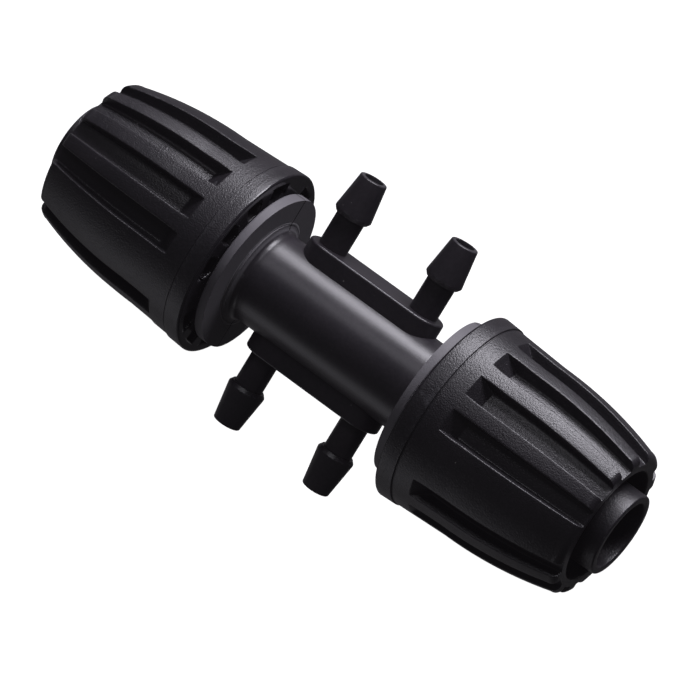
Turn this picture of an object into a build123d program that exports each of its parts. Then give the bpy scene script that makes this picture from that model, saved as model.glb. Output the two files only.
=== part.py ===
from build123d import *
import os

# Straight micro-irrigation manifold: one moulded body with four side barbs and two
# screw-on lock nuts, each holding a split grip ring. Millimetres, X along the hose line,
# Y along the side barbs, Z up, origin on the hose axis midway between the barbs.

# ---- body ----
tube_radius = 7.8
bore_radius = 3.1
barb_spacing = 18.0
pad_half_thickness = 3.75
pad_face = 10.05
pad_edge_round = 0.35
flange_front = 16.8
flange_back = 18.9
flange_radius = 13.6
flange_draft = 0.045
flare = 1.3

# ---- side barbs, for 4 mm bore micro tube ----
stem_radius = 2.4
barb_radius = 3.15
barb_tip_radius = 2.3
barb_tip = 22.6
barb_shoulder = 16.25
barb_undercut = 0.55
barb_hole_radius = 1.65

# ---- hose end: male thread and spigot, for 8 mm bore hose ----
thread_pitch = 3.0
thread_root = 8.8
thread_depth = 1.0
thread_start = 19.9
thread_end = 31.2
spigot_radius = 4.1
spigot_barb_radius = 4.65
spigot_tip = 42.3

# ---- lock nut ----
nut_base = 19.65
nut_length = 31.95
rim_radius = 16.5
rim_width = 3.0
rim_round = 0.35
seam_depth = 0.3
seam_width = 0.22
grip_radius = 15.65
grip_straight = 12.15
grip_curve = 66.0
lip_round = 1.3
lip_outer = 11.7
lip_inner = 9.95
flute_start = 6.3
flute_ramp = 2.6
flute_depth = 2.35
flute_angle = 14.0
flute_pitch = 24.0
flutes_per_group = 4
groups = 3
flute_wall_angle = 3.3
nose_length = 34.55
nose_radius = 7.12
hose_hole_radius = 5.75
sleeve_radius = 11.3
sleeve_stop = 0.06
thread_clearance = 0.15
web_start = 14.25
web_end = 16.25
tooth_root = 1.45
tooth_waist = 1.0
wide_tooth = 2.1
pocket_start = 4.6

# ---- split grip ring, held behind a lip inside the nut ----
ring_back = 13.75
ring_front = 21.25
ring_back_radius = 7.6
ring_front_radius = 6.9
ring_inner_radius = 5.65
ring_tooth = 0.15
ring_slit = 1.6
ring_fit = 0.04

# how far round the X axis the first flute group of each nut has been screwed
flute_phase = {"right": 104.5, "left": 64.5}
end_turn = {"right": 0.0, "left": 180.0}

os.makedirs("parts", exist_ok=True)

# ================================================================ side barb
with BuildPart() as side_barb:
    with BuildSketch(Plane.XZ) as barb_section:
        with BuildLine():
            Polyline(
                (0, 5.0),
                (stem_radius, 5.0),
                (stem_radius, barb_shoulder - barb_undercut),
                (barb_radius - 0.4, barb_shoulder - barb_undercut),
                (barb_radius, barb_shoulder),
                (barb_radius, barb_shoulder + 0.25),
                (barb_tip_radius, barb_tip),
                (0, barb_tip),
                close=True,
            )
        make_face()
    revolve(axis=Axis.Z)
    fillet(side_barb.edges().filter_by(GeomType.CIRCLE).sort_by(Axis.Z)[-1], radius=0.22)
    fillet(side_barb.edges().filter_by(GeomType.CIRCLE).sort_by(Axis.Z)[-4:-2], radius=0.1)

# ================================================================ hose end of the body
with BuildPart() as flange:
    with BuildSketch(Plane.XY) as flange_section:
        with BuildLine():
            Polyline(
                (flange_front, 0),
                (flange_front, flange_radius),
                (flange_back, flange_radius),
                (flange_back, 0),
                close=True,
            )
        make_face()
    revolve(axis=Axis.X)
    with BuildSketch(Plane.XZ) as draft_section:
        with BuildLine():
            Polyline(
                (flange_front - 1.0, 0),
                (flange_front, 0),
                (flange_front + flange_draft * (flange_radius + 1.0), flange_radius + 1.0),
                (flange_front - 1.0, flange_radius + 1.0),
                close=True,
            )
        make_face()
        mirror(about=Plane.XZ)
    extrude(amount=flange_radius + 1.0, both=True, mode=Mode.SUBTRACT)
    fillet(flange.edges().group_by(SortBy.LENGTH)[-1], radius=0.3)

with BuildPart() as hose_end:
    with BuildSketch(Plane.XY) as end_section:
        with BuildLine():
            Polyline(
                (flange_back + 0.1, thread_root + 0.5),
                (thread_start - 0.4, thread_root),
                (thread_end - 0.6, thread_root),
                (thread_end + 0.2, thread_root - 0.8),
                (thread_end + 0.2, spigot_radius + 0.8),
                (thread_end + 1.0, spigot_radius),
                (spigot_tip - 6.6, spigot_radius),
                (spigot_tip - 6.6, spigot_barb_radius),
                (spigot_tip - 3.5, spigot_radius),
                (spigot_tip - 3.5, spigot_barb_radius),
                (spigot_tip - 0.3, spigot_radius - 0.35),
                (spigot_tip, spigot_radius - 0.65),
                (spigot_tip, 0),
                (0, 0),
                (0, tube_radius),
                (flange_front - flare, tube_radius),
            )
            RadiusArc((flange_front - flare, tube_radius), (flange_front, tube_radius + flare), -flare)
            Line((flange_front, tube_radius + flare), (flange_front + 0.8, tube_radius + flare))
            Line((flange_front + 0.8, tube_radius + flare), (flange_back + 0.1, thread_root + 0.5))
        make_face()
    revolve(axis=Axis.X)
    add(flange.part)

with BuildPart() as thread_ridge:
    with BuildLine() as ridge_path:
        Helix(
            pitch=thread_pitch,
            height=thread_end - thread_start - 1.6,
            radius=thread_root,
            center=(thread_start + 0.2, 0, 0),
            direction=(1, 0, 0),
        )
    with BuildSketch(Plane(ridge_path.line @ 0, (1, 0, 0), ridge_path.line % 0)) as ridge_section:
        Polygon((-0.95, -0.3), (0.95, -0.3), (0.35, thread_depth), (-0.35, thread_depth), align=None)
    sweep(is_frenet=True)

# ================================================================ manifold body
with BuildPart() as body:
    with BuildSketch(Plane.XZ) as pad_section:
        SlotOverall(barb_spacing + 2 * pad_half_thickness, 2 * pad_half_thickness)
    extrude(amount=pad_face, both=True)
    fillet(body.faces().filter_by(Axis.Y).edges(), radius=pad_edge_round)
    with Locations((0, 0, 0), Location((0, 0, 0), (0, 0, 180))):
        add(hose_end.part)
        add(thread_ridge.part)
    with Locations(
        Location((barb_spacing / 2, 0, 0), (-90, 0, 0)),
        Location((-barb_spacing / 2, 0, 0), (-90, 0, 0)),
        Location((barb_spacing / 2, 0, 0), (90, 0, 0)),
        Location((-barb_spacing / 2, 0, 0), (90, 0, 0)),
    ):
        add(side_barb.part)
    with Locations(Rotation(0, 90, 0)):
        Cylinder(bore_radius, 2 * spigot_tip + 2, mode=Mode.SUBTRACT)
    with Locations(
        Location((barb_spacing / 2, 0, 0), (90, 0, 0)), Location((-barb_spacing / 2, 0, 0), (90, 0, 0))
    ):
        Cylinder(barb_hole_radius, 2 * barb_tip + 2, mode=Mode.SUBTRACT)

body.part.label = "manifold_body"
export_step(body.part, "parts/manifold_body.step")

# ================================================================ lock nut blanks
base = nut_base
skin_end = (base + nut_length - lip_round, grip_radius - 2.66)

with BuildPart() as nut_blank:
    with BuildSketch(Plane.XY) as skin_section:
        with BuildLine():
            Line((base, 0), (base, rim_radius - rim_round))
            RadiusArc((base, rim_radius - rim_round), (base + rim_round, rim_radius), rim_round)
            Polyline(
                (base + rim_round, rim_radius),
                (base + rim_width, rim_radius - 0.15),
                (base + rim_width, rim_radius - 0.15 - seam_depth),
                (base + rim_width + seam_width, rim_radius - 0.15 - seam_depth),
                (base + rim_width + seam_width, rim_radius - 0.35),
                (base + grip_straight, grip_radius),
            )
            RadiusArc((base + grip_straight, grip_radius), skin_end, grip_curve)
            RadiusArc(skin_end, (base + nut_length, lip_outer), lip_round)
            Polyline(
                (base + nut_length, lip_outer),
                (base + nut_length, nose_radius),
                (base + nose_length - 0.3, nose_radius),
                (base + nose_length, nose_radius - 0.3),
                (base + nose_length, 0),
                (base, 0),
            )
        make_face()
    revolve(axis=Axis.X)
    with BuildSketch(Plane.XY) as rear_cavity_section:
        Polygon(
            (base - 1.0, 15.05),
            (base + 0.1, 15.05),
            (base + pocket_start, 14.55),
            (base + web_start, 14.15),
            (base + web_start, sleeve_radius),
            (base - 1.0, sleeve_radius),
            align=None,
        )
    revolve(axis=Axis.X, mode=Mode.SUBTRACT)
    with BuildSketch(Plane.XY) as front_cavity_section:
        Polygon(
            (base + nut_length + 1.0, lip_inner),
            (base + nut_length - 0.1, lip_inner),
            (base + web_end, 11.9),
            (base + web_end, 9.5),
            (base + web_end + 5.4, 8.6),
            (base + web_end + 8.9, nose_radius),
            (base + nut_length + 1.0, nose_radius),
            align=None,
        )
    revolve(axis=Axis.X, mode=Mode.SUBTRACT)
    with BuildSketch(Plane.XY) as stop_section:
        with Locations(((flange_back + sleeve_stop + base + 1.0) / 2, sleeve_radius - 1.0)):
            Rectangle(base + 1.0 - flange_back - sleeve_stop, 2.0)
    revolve(axis=Axis.X)

with BuildPart() as pocket_back:
    with BuildSketch(Plane.XY) as back_section:
        Polygon(
            (base + pocket_start, 15.1),
            (base + pocket_start + 3.4, 12.2),
            (base + web_start + 0.3, 12.2),
            (base + web_start + 0.3, 14.6),
            (base + pocket_start + 1.2, 15.1),
            align=None,
        )
    revolve(axis=Axis.X, revolution_arc=flute_angle + 2 * flute_wall_angle)

# waisted radial teeth behind the ribs, flush with the rim, wider behind a wide rib
with BuildPart() as rear_tooth:
    with BuildSketch(Plane.YZ.offset(base)) as tooth_section:
        Polygon(
            (sleeve_radius - 0.3, -tooth_root),
            (sleeve_radius + 1.4, -tooth_waist),
            (sleeve_radius + 2.4, -tooth_waist),
            (15.3, -tooth_root),
            (15.3, tooth_root),
            (sleeve_radius + 2.4, tooth_waist),
            (sleeve_radius + 1.4, tooth_waist),
            (sleeve_radius - 0.3, tooth_root),
            align=None,
        )
    extrude(amount=web_start + 0.2)

with BuildPart() as wide_rear_tooth:
    with BuildSketch(Plane.YZ.offset(base)) as wide_section:
        Polygon(
            (sleeve_radius - 0.3, -tooth_root - wide_tooth),
            (sleeve_radius + 1.4, -tooth_waist - wide_tooth),
            (sleeve_radius + 2.4, -tooth_waist - wide_tooth),
            (15.2, -tooth_root - wide_tooth),
            (15.2, tooth_root + wide_tooth),
            (sleeve_radius + 2.4, tooth_waist + wide_tooth),
            (sleeve_radius + 1.4, tooth_waist + wide_tooth),
            (sleeve_radius - 0.3, tooth_root + wide_tooth),
            align=None,
        )
    extrude(amount=web_start + 0.2)

with BuildPart() as flute:
    floor_start = (base + flute_start + flute_ramp, grip_radius + 0.1 - flute_depth)
    floor_end = (base + nut_length + 0.6, lip_outer - 0.65)
    with BuildSketch(Plane.XY) as flute_section:
        with BuildLine():
            Polyline(
                floor_end,
                (floor_end[0], 18.0),
                (base + flute_start, 18.0),
                (base + flute_start, grip_radius + 0.3),
                floor_start,
            )
            ThreePointArc(floor_start, (base + 20.65, 13.1), floor_end)
        make_face()
    revolve(axis=Axis.X, revolution_arc=flute_angle)

with BuildPart() as nut_bore:
    with BuildSketch(Plane.XY) as bore_section:
        Polygon(
            (flange_back - 1.0, 0),
            (flange_back - 1.0, thread_root + thread_clearance + 1.5),
            (flange_back + 1.0, thread_root + thread_clearance),
            (base + ring_back - 0.7, thread_root + thread_clearance),
            (base + ring_back - 0.6, 7.3),
            (base + ring_back - 0.3, 7.3),
            (base + ring_back, ring_back_radius + 0.1),
            (base + ring_front + 0.1, ring_front_radius + 0.03),
            (base + ring_front + 1.6, hose_hole_radius),
            (base + nose_length - 0.35, hose_hole_radius),
            (base + nose_length + 0.65, hose_hole_radius + 1.0),
            (base + nose_length + 0.65, 0),
            align=None,
        )
    revolve(axis=Axis.X)
    with BuildLine() as groove_path:
        Helix(
            pitch=thread_pitch,
            height=base + ring_back + 0.4 - thread_start,
            radius=thread_root,
            center=(thread_start + 0.2 - thread_pitch, 0, 0),
            direction=(1, 0, 0),
        )
    with BuildSketch(Plane(groove_path.line @ 0, (1, 0, 0), groove_path.line % 0)) as groove_section:
        Polygon(
            (-1.1, -0.3), (1.1, -0.3), (0.5, thread_depth + 0.15), (-0.5, thread_depth + 0.15), align=None
        )
    sweep(is_frenet=True)

# ================================================================ grip ring
with BuildPart() as ring_blank:
    with BuildSketch(Plane.XY) as ring_section:
        Polygon(
            (base + ring_back + 0.05, ring_inner_radius + 0.3),
            (base + ring_back + 0.35, ring_inner_radius),
            (base + ring_front, ring_inner_radius),
            (base + ring_front, ring_front_radius - ring_fit),
            (base + ring_back + 0.25, ring_back_radius + 0.07 - ring_fit),
            (base + ring_back + 0.05, ring_back_radius - 0.15),
            align=None,
        )
        for step in range(3):
            tooth = base + ring_back + 1.4 + 2.0 * step
            Polygon(
                (tooth - 0.5, ring_inner_radius + 0.02),
                (tooth + 0.1, ring_inner_radius - ring_tooth),
                (tooth + 0.2, ring_inner_radius + 0.02),
                align=None,
            )
    revolve(axis=Axis.X)
    with Locations((base + (ring_back + ring_front) / 2, 0, 6.5)):
        Box(ring_front - ring_back + 2, ring_slit, 4.0, mode=Mode.SUBTRACT)

# ================================================================ both ends
for side in ("right", "left"):
    centre = flute_phase[side]
    slots = [
        centre + flute_pitch * (1 + k + (flutes_per_group + 1) * g)
        for g in range(groups)
        for k in range(flutes_per_group)
    ]
    narrow_ribs = [a for i, a in enumerate(slots) if i % flutes_per_group != flutes_per_group - 1]
    half_back = flute_angle / 2 + flute_wall_angle
    with BuildPart() as nut:
        add(nut_blank.part)
        with Locations([Location((0, 0, 0), (a - half_back, 0, 0)) for a in slots]):
            add(pocket_back.part)
        with Locations([Location((0, 0, 0), (centre + 360 / groups * g, 0, 0)) for g in range(groups)]):
            add(wide_rear_tooth.part)
        with Locations([Location((0, 0, 0), (a + flute_pitch / 2, 0, 0)) for a in narrow_ribs]):
            add(rear_tooth.part)
        with Locations([Location((0, 0, 0), (a - flute_angle / 2, 0, 0)) for a in slots]):
            add(flute.part, mode=Mode.SUBTRACT)
        add(nut_bore.part, mode=Mode.SUBTRACT)
    with BuildPart() as lock_nut:
        with Locations(Rotation(0, 0, end_turn[side])):
            add(nut.part)
    lock_nut.part.label = f"lock_nut_{side}"
    export_step(lock_nut.part, f"parts/lock_nut_{side}.step")

    with BuildPart() as grip_ring:
        with Locations(Rotation(0, 0, end_turn[side])):
            add(ring_blank.part)
    grip_ring.part.label = f"grip_ring_{side}"
    export_step(grip_ring.part, f"parts/grip_ring_{side}.step")
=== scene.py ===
import math

import bmesh
import bpy
from mathutils import Matrix, Vector


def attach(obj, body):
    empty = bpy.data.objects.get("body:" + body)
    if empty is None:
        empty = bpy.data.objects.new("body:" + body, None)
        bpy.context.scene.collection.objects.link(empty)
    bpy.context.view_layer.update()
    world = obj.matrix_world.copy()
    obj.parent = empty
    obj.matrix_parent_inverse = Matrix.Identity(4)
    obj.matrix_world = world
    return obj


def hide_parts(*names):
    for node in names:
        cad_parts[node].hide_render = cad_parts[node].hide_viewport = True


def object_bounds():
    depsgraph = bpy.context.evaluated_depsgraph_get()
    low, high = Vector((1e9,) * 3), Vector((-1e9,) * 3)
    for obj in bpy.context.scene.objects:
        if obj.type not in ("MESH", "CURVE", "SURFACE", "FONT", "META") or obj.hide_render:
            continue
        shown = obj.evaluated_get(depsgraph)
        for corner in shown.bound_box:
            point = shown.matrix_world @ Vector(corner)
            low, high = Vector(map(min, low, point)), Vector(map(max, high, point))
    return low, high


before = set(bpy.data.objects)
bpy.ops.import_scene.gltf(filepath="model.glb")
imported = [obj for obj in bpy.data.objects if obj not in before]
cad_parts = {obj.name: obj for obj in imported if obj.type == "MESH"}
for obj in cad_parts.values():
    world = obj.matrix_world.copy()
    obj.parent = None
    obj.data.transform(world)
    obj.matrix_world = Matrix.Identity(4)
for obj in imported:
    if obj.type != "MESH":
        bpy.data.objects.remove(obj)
cad_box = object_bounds()

MM = 0.001


# ---------------------------------------------------------------- shader maths


class Paint:
    """The node tree of a material or of the world, with a method that adds any node."""

    def __init__(self, owner):
        owner.use_nodes = True
        self.tree = owner.node_tree
        self.tree.nodes.clear()

    def join(self, value, socket):
        """Link a socket or a Number to an input, or set the input to a plain value."""
        if isinstance(value, Number):
            value = value.out
        if isinstance(value, bpy.types.NodeSocket):
            self.tree.links.new(value, socket)
        else:
            socket.default_value = value

    def node(self, kind, settings=None, **inputs):
        """Add a node. in_0 is its first input; other inputs go by name, with _ for a space."""
        made = self.tree.nodes.new(kind)
        for key, value in (settings or {}).items():
            setattr(made, key, value)
        for key, value in inputs.items():
            self.join(value, self.socket(made, key))
        return made

    def socket(self, made, key):
        if key.startswith("in_"):
            return made.inputs[int(key[3:])]
        wanted = key.replace("_", " ").lower()
        return next(s for s in made.inputs if s.name.lower() == wanted and s.enabled)

    def number(self, socket):
        return Number(self, socket)

    def blend(self, amount, first, second):
        """Colour between first and second."""
        made = self.node("ShaderNodeMix", {"data_type": "RGBA"})
        colours = [s for s in made.inputs if s.type == "RGBA"]
        factor = next(s for s in made.inputs if s.type == "VALUE" and s.enabled)
        for socket, value in ((factor, amount), (colours[0], first), (colours[1], second)):
            self.join(value, socket)
        return next(s for s in made.outputs if s.type == "RGBA")


class Number:
    """A socket that can be used in a sum; each step adds a Math node."""

    def __init__(self, paint, out):
        self.paint = paint
        self.out = out

    def math(self, operation, *others, clamp=False):
        inputs = {f"in_{i}": value for i, value in enumerate(others)}
        made = self.paint.node("ShaderNodeMath", {"operation": operation, "use_clamp": clamp}, **inputs)
        return Number(self.paint, made.outputs[0])

    def size(self):
        """The value without its sign."""
        return self.math("ABSOLUTE", self)

    def __add__(self, other):
        return self.math("ADD", self, other)

    def __sub__(self, other):
        return self.math("SUBTRACT", self, other)

    def __rsub__(self, other):
        return self.math("SUBTRACT", other, self)

    def __mul__(self, other):
        return self.math("MULTIPLY", self, other)

    def __truediv__(self, other):
        return self.math("DIVIDE", self, other)

    def __rtruediv__(self, other):
        return self.math("DIVIDE", other, self)

    def __pow__(self, other):
        return self.math("POWER", self, other)

    __radd__ = __add__
    __rmul__ = __mul__

    def clamped(self):
        return self.math("ADD", self, 0.0, clamp=True)

    def above(self, low, high):
        """0 below low, 1 above high, smooth between."""
        made = self.paint.node("ShaderNodeMapRange", {"interpolation_type": "SMOOTHSTEP"},
                               Value=self, From_Min=low, From_Max=high, To_Min=0.0, To_Max=1.0)
        return Number(self.paint, made.outputs[0])


FLARE_RADIUS = 9.3
SPECK = 0.35
MATT_TONE = (0.110, 0.105, 0.115, 1)
# Pale colour of the painted highlight along the raised ring where the tube's flare ends.
RIDGE_HIGHLIGHT_TONE = (0.25, 0.245, 0.26, 1)
SEAM_TONE = (0.001, 0.001, 0.001, 1)
WORN_TONE = (0.16, 0.16, 0.17, 1)
SPECK_TONE = (0.55, 0.54, 0.52, 1)
# Colour of a faint glow on all the plastics: painted light that lifts their darkest tones.
GLOW_LIFTING_BLACKS = (0.0026, 0.0023, 0.0027, 1)


def moulded_plastic(name, tone, roughness, grain, matt_beyond=None, polished_to=None):
    """Black moulded plastic. grain is how deep its spark-eroded texture is, in mm. Distances are from the middle
    of the hose line: past matt_beyond mm the surface is paler, rougher and grained, with a mould parting line
    and a raised ring where the tube's flare ends, which also gets a pale painted highlight along it. Up to
    polished_to mm it is smooth, as where a mould closes."""
    material = bpy.data.materials.new(name)
    paint = Paint(material)
    place = paint.node("ShaderNodeTexCoord").outputs["Object"]
    scaled = paint.node("ShaderNodeVectorMath", {"operation": "SCALE"}, in_0=place, Scale=1 / MM)
    millimetres = scaled.outputs[0]

    def noise(scale, detail=2.0, rough=0.5):
        made = paint.node("ShaderNodeTexNoise", Vector=millimetres, Scale=scale, Detail=detail, Roughness=rough)
        return paint.number(made.outputs[0])

    cloud = noise(0.11, 3.0)
    mottle = noise(1.7, 4.0, 0.6)
    fine = noise(5.5, 2.0, 0.7)
    pits = paint.number(paint.node("ShaderNodeTexVoronoi", {"feature": "SMOOTH_F1"},
                                   Vector=millimetres, Scale=4.2, Smoothness=0.7).outputs["Distance"])
    stretched = paint.node("ShaderNodeVectorMath", {"operation": "MULTIPLY"},
                           in_0=millimetres, in_1=(0.35, 5.0, 5.0)).outputs[0]
    drawn = paint.number(paint.node("ShaderNodeTexNoise", Vector=stretched, Scale=1.0, Detail=2.0).outputs[0])
    dots = paint.node("ShaderNodeTexVoronoi", Vector=millimetres, Scale=0.42, Randomness=1.0)
    dot = (1.0 - paint.number(dots.outputs["Distance"]).above(0.034, 0.058)) * cloud.above(0.51, 0.58)
    edge = paint.number(paint.node("ShaderNodeNewGeometry").outputs["Pointiness"])
    worn = edge.above(0.515, 0.58) * mottle.above(0.3, 0.7)

    deep = (tone[0] * 0.8, tone[1] * 0.8, tone[2] * 0.85, 1)
    pale = (tone[0] * 1.35, tone[1] * 1.3, tone[2] * 1.35, 1)
    base = paint.blend((cloud * 0.5 + mottle * 0.5).above(0.3, 0.7), deep, pale)
    base = paint.blend(worn * 0.25, base, WORN_TONE)
    base = paint.blend(dot * SPECK, base, SPECK_TONE)
    rough = roughness + (cloud - 0.5) * 0.06 + (mottle - 0.5) * 0.05 + (drawn - 0.5) * 0.03
    rough = rough - worn * 0.08 + dot * 0.2
    relief = fine * 0.6 + pits * 0.7 + drawn * 0.12
    axes = paint.node("ShaderNodeSeparateXYZ", Vector=millimetres)
    along, height = (paint.number(axes.outputs[axis]) for axis in ("X", "Z"))
    if polished_to:
        polished = 1.0 - along.size().above(polished_to - 0.1, polished_to + 0.1)
        rough = rough - polished * 0.22
        relief = relief * (1.0 - polished * 0.95)
    if matt_beyond:
        matt = along.size().above(matt_beyond, matt_beyond + 0.25)
        seam = (1.0 - height.size().above(0.07, 0.22)) * matt
        rough = rough + matt * 0.28
        across = paint.number(axes.outputs["Y"])
        square = across * across + height * height
        radius = square.math("SQRT", square)
        # Mask of the raised ring: it raises the bump and places a painted highlight along the ring.
        ridge_with_highlight = (1.0 - (radius - FLARE_RADIUS).size().above(0.08, 0.26)) * matt
        relief = relief * (0.03 + matt * 0.97) - seam * 9.0 + ridge_with_highlight * 6.0
        base = paint.blend(matt * 0.85, base, MATT_TONE)
        # Painted highlight: a pale line along the raised ring.
        base = paint.blend(ridge_with_highlight * 0.6, base, RIDGE_HIGHLIGHT_TONE)
        base = paint.blend(seam, base, SEAM_TONE)
    bump = paint.node("ShaderNodeBump", Strength=1.0, Distance=grain * MM, Height=relief)
    # The plastic glows faintly: painted light that lifts its blacks.
    shader = paint.node("ShaderNodeBsdfPrincipled", Base_Color=base, Roughness=rough.clamped(),
                        Normal=bump.outputs[0], IOR=1.5, Emission_Color=GLOW_LIFTING_BLACKS, Emission_Strength=1.0)
    paint.node("ShaderNodeOutputMaterial", Surface=shader.outputs[0])
    return material


satin_black = moulded_plastic("satin_black", (0.0200, 0.0180, 0.0210), 0.33, 0.026, matt_beyond=16.35)
grained_black = moulded_plastic("grained_black", (0.0130, 0.0118, 0.0138), 0.36, 0.055, polished_to=19.95)
ring_black = moulded_plastic("ring_black", (0.040, 0.042, 0.030), 0.30, 0.006)


# ---------------------------------------------------------------- lock nut

# Millimetres and degrees. "Along" runs from the nut's base to its nose, "out" is the radius.
NUT_BASE = 19.65
NUT_LENGTH = 31.95
GRIP_RADIUS = 15.65
GRIP_STRAIGHT = 12.15
GRIP_CURVE = 66.0
RIM_RADIUS = 16.5
RIM_WIDTH = 3.0
RIM_ROUND = 0.32
LIP_ROUND = 1.3
LIP_OUTER = 11.7
LIP_INNER = 9.95
FLUTE_START = 6.3
FLUTE_RAMP = 2.6
FLUTE_DEPTH = 2.25
FLUTE_HALF = 7.0
FLUTE_PITCH = 24.0
NOSE_LENGTH = 34.55
NOSE_RADIUS = 7.12
HOSE_HOLE = 5.75
SLEEVE_RADIUS = 11.3
THREAD_CREST = 8.95
THREAD_DEPTH = 1.0
THREAD_PITCH = 3.0
THREAD_START = 19.9
WEB_START = 14.25
WEB_END = 16.25
POCKET_START = 4.6
TOOTH_ROOT = 1.45
TOOTH_WAIST = 1.0
TOOTH_MIDDLE = 13.2
TOOTH_WAIST_LENGTH = 1.0
WIDE_TOOTH = 2.1
GROOVE_END = 13.05
MOUTH_RADIUS = 15.1
POCKET_RADIUS = 12.2
POCKET_RAMP = 3.4
SEAM_RADIUS = RIM_RADIUS - 0.15


def arc(centre, radius, start, end, steps):
    """Points round an arc in the (along, out) plane, angles in degrees from the along axis."""
    points = []
    for i in range(steps + 1):
        a = math.radians(start + (end - start) * i / steps)
        points.append((centre[0] + radius * math.cos(a), centre[1] + radius * math.sin(a)))
    return points


def between(a, b, steps):
    return [(a[0] + (b[0] - a[0]) * i / steps, a[1] + (b[1] - a[1]) * i / steps) for i in range(steps + 1)]


def circle_through(p, q, r):
    ax, ay, bx, by, cx, cy = *p, *q, *r
    d = 2 * (ax * (by - cy) + bx * (cy - ay) + cx * (ay - by))
    ux = ((ax**2 + ay**2) * (by - cy) + (bx**2 + by**2) * (cy - ay) + (cx**2 + cy**2) * (ay - by)) / d
    uy = ((ax**2 + ay**2) * (cx - bx) + (bx**2 + by**2) * (ax - cx) + (cx**2 + cy**2) * (bx - ax)) / d
    return ux, uy, math.hypot(ax - ux, ay - uy)


def grip_skin(s):
    """Outer radius of the ribs a distance s from the nut's base."""
    if s < GRIP_STRAIGHT:
        start = RIM_WIDTH + 0.22
        return (RIM_RADIUS - 0.35) + (GRIP_RADIUS - RIM_RADIUS + 0.35) * (s - start) / (GRIP_STRAIGHT - start)
    return GRIP_RADIUS - (GRIP_CURVE - math.sqrt(GRIP_CURVE**2 - (s - GRIP_STRAIGHT) ** 2))


FLOOR_START = (FLUTE_START + FLUTE_RAMP, GRIP_RADIUS + 0.1 - FLUTE_DEPTH)
FLOOR_CIRCLE = circle_through(FLOOR_START, (20.65, 13.1), (NUT_LENGTH + 0.6, LIP_OUTER - 0.65))


def flute_floor(s):
    u, v, radius = FLOOR_CIRCLE
    return v + math.copysign(math.sqrt(radius**2 - (s - u) ** 2), FLOOR_START[1] - v)


def flute_drop(s, skin):
    """How far the flute's floor lies under the ribs."""
    if s <= FLUTE_START:
        return 0.0
    full = skin - flute_floor(max(s, FLOOR_START[0]))
    return max(0.0, min(1.0, (s - FLUTE_START) / FLUTE_RAMP)) * full


def tooth_radius(s, wall):
    """Back of a flute, seen from inside the nut's base."""
    drop = (MOUTH_RADIUS - POCKET_RADIUS) * (s - POCKET_START) / POCKET_RAMP
    return min(wall, max(POCKET_RADIUS, MOUTH_RADIUS - drop))


def flute_columns(phase):
    """Columns round the nut: angle, share of the flute's depth, and the column's place in the rear mouth. That
    place is on a tooth, as (its middle, side to side from -1 to 1, wide or not), or in a pocket, as (tooth
    before, tooth after, how far across)."""
    edge = [(-12.0, 0), (-11.2, 0), (-10.4, 0), (-9.6, 0), (-8.7, 0)]
    for i in range(5):
        t = math.radians(22.5 * i)
        edge.append((-FLUTE_HALF - 0.7 + 0.75 * math.sin(t), 0.1 * (1 - math.cos(t))))
    edge.append((-FLUTE_HALF + 0.2, 0.45))
    for i in range(5):
        t = math.radians(22.5 * i)
        edge.append((-FLUTE_HALF + 0.35 + 1.3 * (1 - math.cos(t)), 0.85 + 0.15 * math.sin(t)))
    edge += [(-3.4, 1), (-1.2, 1)]
    slot = edge + [(-a, f) for a, f in reversed(edge)][:-1]
    last = len(slot) - 1
    columns = []
    for k in range(15):
        turn = phase + FLUTE_PITCH * k
        if k % 5 == 0:
            for a in (-12.0, -8.0, -4.0, 0.0, 4.0, 8.0):
                columns.append((turn + a, 0, (turn, a / 20.0, True)))
            continue
        wide_before, wide_after = k % 5 == 1, k % 5 == 4
        before = turn - (FLUTE_PITCH if wide_before else FLUTE_PITCH / 2)
        after = turn + (FLUTE_PITCH if wide_after else FLUTE_PITCH / 2)
        for i, (a, f) in enumerate(slot):
            if i <= 3:
                rear = (before, 0.6 + 0.4 * i / 3 if wide_before else i / 3, wide_before)
            elif i >= last - 2:
                step = (last - 2 - i) / 3
                rear = (after, -1.0 - (0.4 if wide_after else 1.0) * step, wide_after)
            else:
                rear = ((before, wide_before), (after, wide_after), (i - 4) / (last - 7))
            columns.append((turn + a, f, rear))
    return columns


def tooth_half(r, wide):
    """Half the width of a rear tooth, waisted in the middle, as an angle."""
    off_waist = max(0.0, abs(r - TOOTH_MIDDLE) - TOOTH_WAIST_LENGTH / 2)
    half = TOOTH_WAIST + (TOOTH_ROOT - TOOTH_WAIST) * min(1.0, off_waist / 1.5)
    return math.degrees(math.atan2(half + (WIDE_TOOTH if wide else 0.0), r))


def rear_place(rear, share, s, r):
    """(along, out, angle) of a column in the rear mouth; share is how far through the mouth's rows this one is."""
    if not isinstance(rear[0], tuple):
        middle, side, wide = rear
        out = SLEEVE_RADIUS + (MOUTH_RADIUS - SLEEVE_RADIUS) * share
        return 0.0, out, middle + side * tooth_half(out, wide)
    (before, wide_before), (after, wide_after), across = rear
    out = tooth_radius(s, r) if r > 13 else r
    low = before + tooth_half(out, wide_before) + 0.3
    high = after - tooth_half(out, wide_after) - 0.3
    return s, out, low + (high - low) * across


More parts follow.
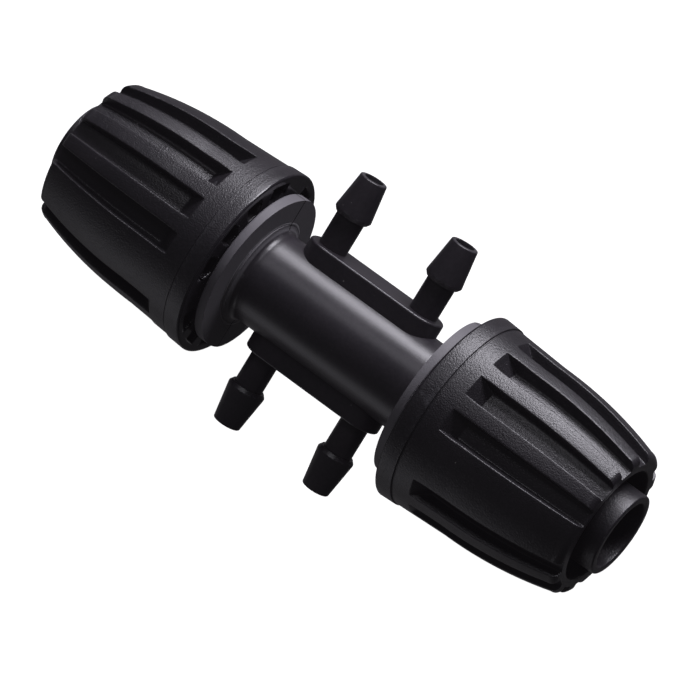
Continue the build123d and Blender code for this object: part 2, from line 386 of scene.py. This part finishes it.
def nut_rows():
    """The nut's closed section, from the rim round the outside to the nose, in through the bore and back."""
    rows = []

    def add(kind, points):
        rows.extend((kind, s, r) for s, r in points)

    add("plain", between((0.0, 15.25), (0.0, RIM_RADIUS - RIM_ROUND), 3))
    add("plain", arc((RIM_ROUND, RIM_RADIUS - RIM_ROUND), RIM_ROUND, 180, 90, 5)[1:])
    add("plain", [(1.5, RIM_RADIUS - 0.07), (RIM_WIDTH - 0.07, SEAM_RADIUS), (RIM_WIDTH - 0.01, SEAM_RADIUS - 0.05),
                  (RIM_WIDTH + 0.01, SEAM_RADIUS - 0.27), (RIM_WIDTH + 0.21, SEAM_RADIUS - 0.27),
                  (RIM_WIDTH + 0.23, SEAM_RADIUS - 0.24), (RIM_WIDTH + 0.29, SEAM_RADIUS - 0.2)])
    along = [3.6, 4.4, 5.2, 5.8, 6.1, 6.27, 6.35, 6.5, 6.75] + [6.75 + 0.43 * i for i in range(1, 5)]
    along += [8.7, 8.85, 8.97, 9.25] + [9.85 + 0.8 * i for i in range(26)] + [30.25]
    add("skin", [(s, grip_skin(s)) for s in along])
    top = grip_skin(NUT_LENGTH - LIP_ROUND)
    add("lip", arc((NUT_LENGTH - LIP_ROUND, top - LIP_ROUND), LIP_ROUND, 90, 0, 8))
    add("plain", [(NUT_LENGTH, 10.95), (NUT_LENGTH, 10.15)])
    add("plain", arc((NUT_LENGTH - 0.15, LIP_INNER + 0.15), 0.15, 0, -90, 3)[1:])
    add("plain", between((NUT_LENGTH - 0.6, LIP_INNER + 0.02), (WEB_END + 0.4, 11.88), 12))
    add("plain", [(WEB_END + 0.1, 11.75), (WEB_END, 11.4), (WEB_END, 9.9), (WEB_END + 0.15, 9.6),
                  (WEB_END + 0.5, 9.4)])
    add("plain", between((WEB_END + 1.2, 9.3), (WEB_END + 5.4, 8.6), 4))
    add("plain", between((WEB_END + 6.2, 8.25), (WEB_END + 8.7, NOSE_RADIUS + 0.06), 4))
    add("plain", between((WEB_END + 9.4, NOSE_RADIUS), (NOSE_LENGTH - 0.35, NOSE_RADIUS), 8))
    add("plain", arc((NOSE_LENGTH - 0.3, NOSE_RADIUS - 0.3), 0.3, 90, 0, 5))
    add("plain", [(NOSE_LENGTH, 6.5), (NOSE_LENGTH, 6.2)])
    add("plain", arc((NOSE_LENGTH - 0.3, HOSE_HOLE + 0.3), 0.3, 0, -90, 5)[1:])
    add("plain", between((NOSE_LENGTH - 1.2, HOSE_HOLE), (22.95, HOSE_HOLE), 8))
    add("plain", [(22.75, 5.85), (21.4, 6.93)] + between((20.15, 7.05), (13.85, 7.66), 5))
    add("plain", [(13.5, 7.32), (13.15, 7.3), (GROOVE_END + 0.02, 7.5)])
    add("thread", [(GROOVE_END, THREAD_CREST)] + between((GROOVE_END - 0.1, THREAD_CREST), (0.4, THREAD_CREST), 84))
    add("thread", between((0.25, THREAD_CREST + 0.02), (-0.65, 9.62), 6))
    add("thread", [(-0.69, 9.8)])
    add("plain", [(-0.69, 10.6), (-0.69, 11.1), (-0.59, SLEEVE_RADIUS), (0.0, SLEEVE_RADIUS)])
    cavity = between((0.6, SLEEVE_RADIUS), (WEB_START - 0.3, SLEEVE_RADIUS), 12)
    cavity += [(WEB_START - 0.06, SLEEVE_RADIUS + 0.1), (WEB_START, SLEEVE_RADIUS + 0.35), (WEB_START, 12.0)]
    steps = (14.2, 13.8, 12.4, 11.0, 9.6, 8.4, 8.0, 7.5, 6.9, 6.2, 5.4, 4.9, POCKET_START, 3.8, 2.8, 1.8, 0.9, 0.15)
    cavity += [(s, rear_wall(s)) for s in steps]
    add("rear", cavity)
    return rows


def rear_wall(s):
    """Inner face of the grip shell, seen from the nut's base."""
    if s < POCKET_START:
        return 15.05 - 0.5 * s / POCKET_START
    return 14.55 - 0.4 * (s - POCKET_START) / (WEB_START - POCKET_START)


def thread_height(x, angle):
    """Depth of the nut's thread groove at this place."""
    turn = (x - THREAD_START - 0.2) / THREAD_PITCH - (angle - 90.0) / 360.0
    off = abs((turn + 0.5) % 1.0 - 0.5) * THREAD_PITCH
    return max(0.0, min(1.0, (1.08 - off) / 0.6)) * (THREAD_DEPTH + 0.05)


def make_mesh(name, points, faces, material, smooth_angle=32):
    """A smooth-shaded object from points in millimetres, sharp where faces meet at more than smooth_angle."""
    mesh = bpy.data.meshes.new(name)
    mesh.from_pydata([tuple(c * MM for c in p) for p in points], [], faces)
    mesh.validate()
    made = bpy.data.objects.new(name, mesh)
    bpy.context.scene.collection.objects.link(made)
    mesh.materials.append(material)
    for face in mesh.polygons:
        face.use_smooth = True
    mesh.set_sharp_from_angle(angle=math.radians(smooth_angle))
    return made


def lock_nut(side, sign, phase):
    """One nut's shell. phase is the angle of the middle of a wide rib; sign is which end of the body it is on."""
    rows = nut_rows()
    columns = flute_columns(phase)
    points = []
    cavity = [i for i, row in enumerate(rows) if row[0] == "rear"]
    for i, (kind, s, r) in enumerate(rows):
        for angle, flute, rear in columns:
            x, out = NUT_BASE + s, r
            if kind in ("skin", "lip"):
                out = r - flute * max(0.0, flute_drop(s, r))
            elif kind == "rear":
                along, out, angle = rear_place(rear, (i - cavity[0] + 1) / (len(cavity) + 1), s, r)
                x = NUT_BASE + along
            elif kind == "thread":
                out = max(r, THREAD_CREST + thread_height(x, angle))
            a = math.radians(angle)
            points.append((sign * x, sign * out * math.cos(a), out * math.sin(a)))
    across = len(columns)
    faces = []
    for i in range(len(rows)):
        for j in range(across):
            a, b = i * across + j, i * across + (j + 1) % across
            c, d = ((i + 1) % len(rows)) * across + (j + 1) % across, ((i + 1) % len(rows)) * across + j
            faces.append((a, b, c, d))
    nut = make_mesh(f"lock_nut_shell_{side}", points, faces, grained_black)
    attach(nut, f"nut_{side}")
    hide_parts(f"lock_nut_{side}")


lock_nut("right", 1, 104.5)
lock_nut("left", -1, 64.5)


def smooth_copy(node, name, body, material):
    """A CAD part's own shape with joined, evenly smoothed faces, so that round surfaces shine evenly."""
    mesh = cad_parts[node].data.copy()
    shape = bmesh.new()
    shape.from_mesh(mesh)
    bmesh.ops.remove_doubles(shape, verts=shape.verts, dist=0.0005 * MM)
    bmesh.ops.dissolve_degenerate(shape, edges=shape.edges, dist=0.0005 * MM)
    points = [tuple(v.co / MM) for v in shape.verts]
    faces = [tuple(v.index for v in f.verts) for f in shape.faces]
    shape.free()
    made = make_mesh(name, points, faces, material, 34)
    weights = made.modifiers.new("even_shading", "WEIGHTED_NORMAL")
    weights.keep_sharp = True
    weights.weight = 80
    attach(made, body)
    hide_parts(node)


smooth_copy("manifold_body", "manifold_moulding", "manifold", satin_black)
smooth_copy("grip_ring_right", "split_ring_right", "ring_right", ring_black)
smooth_copy("grip_ring_left", "split_ring_left", "ring_left", ring_black)


# ---------------------------------------------------------------- stage

low, high = cad_box
floor_mesh = bpy.data.meshes.new("floor")
reach = 3.0
corners = [(x * reach, y * reach, low[2]) for x, y in ((-1, -1), (1, -1), (1, 1), (-1, 1))]
floor_mesh.from_pydata(corners, [], [(0, 1, 2, 3)])
floor = bpy.data.objects.new("floor", floor_mesh)
bpy.context.scene.collection.objects.link(floor)
sweep = bpy.data.materials.new("white_sweep")
sheet = Paint(sweep)
tint = sheet.number(sheet.node("ShaderNodeTexNoise", Scale=2.0, Detail=2.0).outputs[0])
pale = sheet.blend(tint, (0.86, 0.86, 0.86, 1), (0.88, 0.88, 0.88, 1))
white = sheet.node("ShaderNodeBsdfPrincipled", Base_Color=pale, Roughness=0.7,
                   Emission_Color=(1, 1, 1, 1), Emission_Strength=1.0)
beneath = sheet.node("ShaderNodeNewGeometry").outputs["Backfacing"]
clear = sheet.node("ShaderNodeBsdfTransparent")
one_sided = sheet.node("ShaderNodeMixShader", in_0=beneath, in_1=white.outputs[0], in_2=clear.outputs[0])
sheet.node("ShaderNodeOutputMaterial", Surface=one_sided.outputs[0])
floor_mesh.materials.append(sweep)
floor.visible_diffuse = False
floor.visible_glossy = False
floor.visible_shadow = False


def softbox(name, toward, distance, wide, tall, power):
    """A rectangular light that faces the part from the given direction. Sizes are in metres, power in watts."""
    lamp = bpy.data.lights.new(name, "AREA")
    lamp.shape = "RECTANGLE"
    lamp.size = wide
    lamp.size_y = tall
    lamp.energy = power
    lamp.color = (0.985, 0.965, 1.05)
    stand = bpy.data.objects.new(name, lamp)
    direction = Vector(toward).normalized()
    stand.location = direction * distance
    stand.rotation_euler = direction.to_track_quat("Z", "Y").to_euler()
    bpy.context.scene.collection.objects.link(stand)


softbox("side_softbox", (0.0, 1.0, 0.05), 0.8, 0.62, 0.36, 10.0)
softbox("upper_strip", (-0.1, 0.72, 0.69), 0.8, 0.5, 0.26, 0.8)
softbox("low_fill", (-0.35, -0.92, 0.16), 0.9, 0.7, 0.4, 0.5)

world = bpy.data.worlds.new("studio")
bpy.context.scene.world = world
room = Paint(world)
heading = room.node("ShaderNodeSeparateXYZ", Vector=room.node("ShaderNodeTexCoord").outputs["Generated"])
level, aside = (room.number(heading.outputs[axis]) for axis in ("Z", "X"))
under = room.blend(aside.above(0.08, 0.38), (0.115, 0.111, 0.118, 1), (0.026, 0.025, 0.027, 1))
# The room is dim above the part, brighter below it, and dim again below towards the right-hand nut.
glow = room.blend(level.above(-0.10, 0.06), under, (0.040, 0.0388, 0.0420, 1))
studio = room.node("ShaderNodeBackground", Color=glow, Strength=1.0)
room.node("ShaderNodeOutputWorld", Surface=studio.outputs[0])

# ---------------------------------------------------------------- camera

CAMERA_TOWARD = Vector((0.3121, 0.2346, 0.9206)).normalized()
CAMERA_UP = Vector((-0.5592, 0.8287, -0.0216))
CAMERA_DISTANCE = 767.7 * MM
CAMERA_AIM = (0.841, -2.353)
back = CAMERA_TOWARD
right = CAMERA_UP.cross(back).normalized()
up = back.cross(right)
lens = bpy.data.cameras.new("camera")
lens.sensor_width = 36
lens.lens = 256.6
lens.clip_end = 20
camera = bpy.data.objects.new("camera", lens)
place = right * CAMERA_AIM[0] * MM + up * CAMERA_AIM[1] * MM + back * CAMERA_DISTANCE
camera.matrix_world = Matrix.Translation(place) @ Matrix((right, up, back)).transposed().to_4x4()
bpy.context.scene.collection.objects.link(camera)
bpy.context.scene.camera = camera
bpy.context.scene.view_settings.view_transform = "Standard"
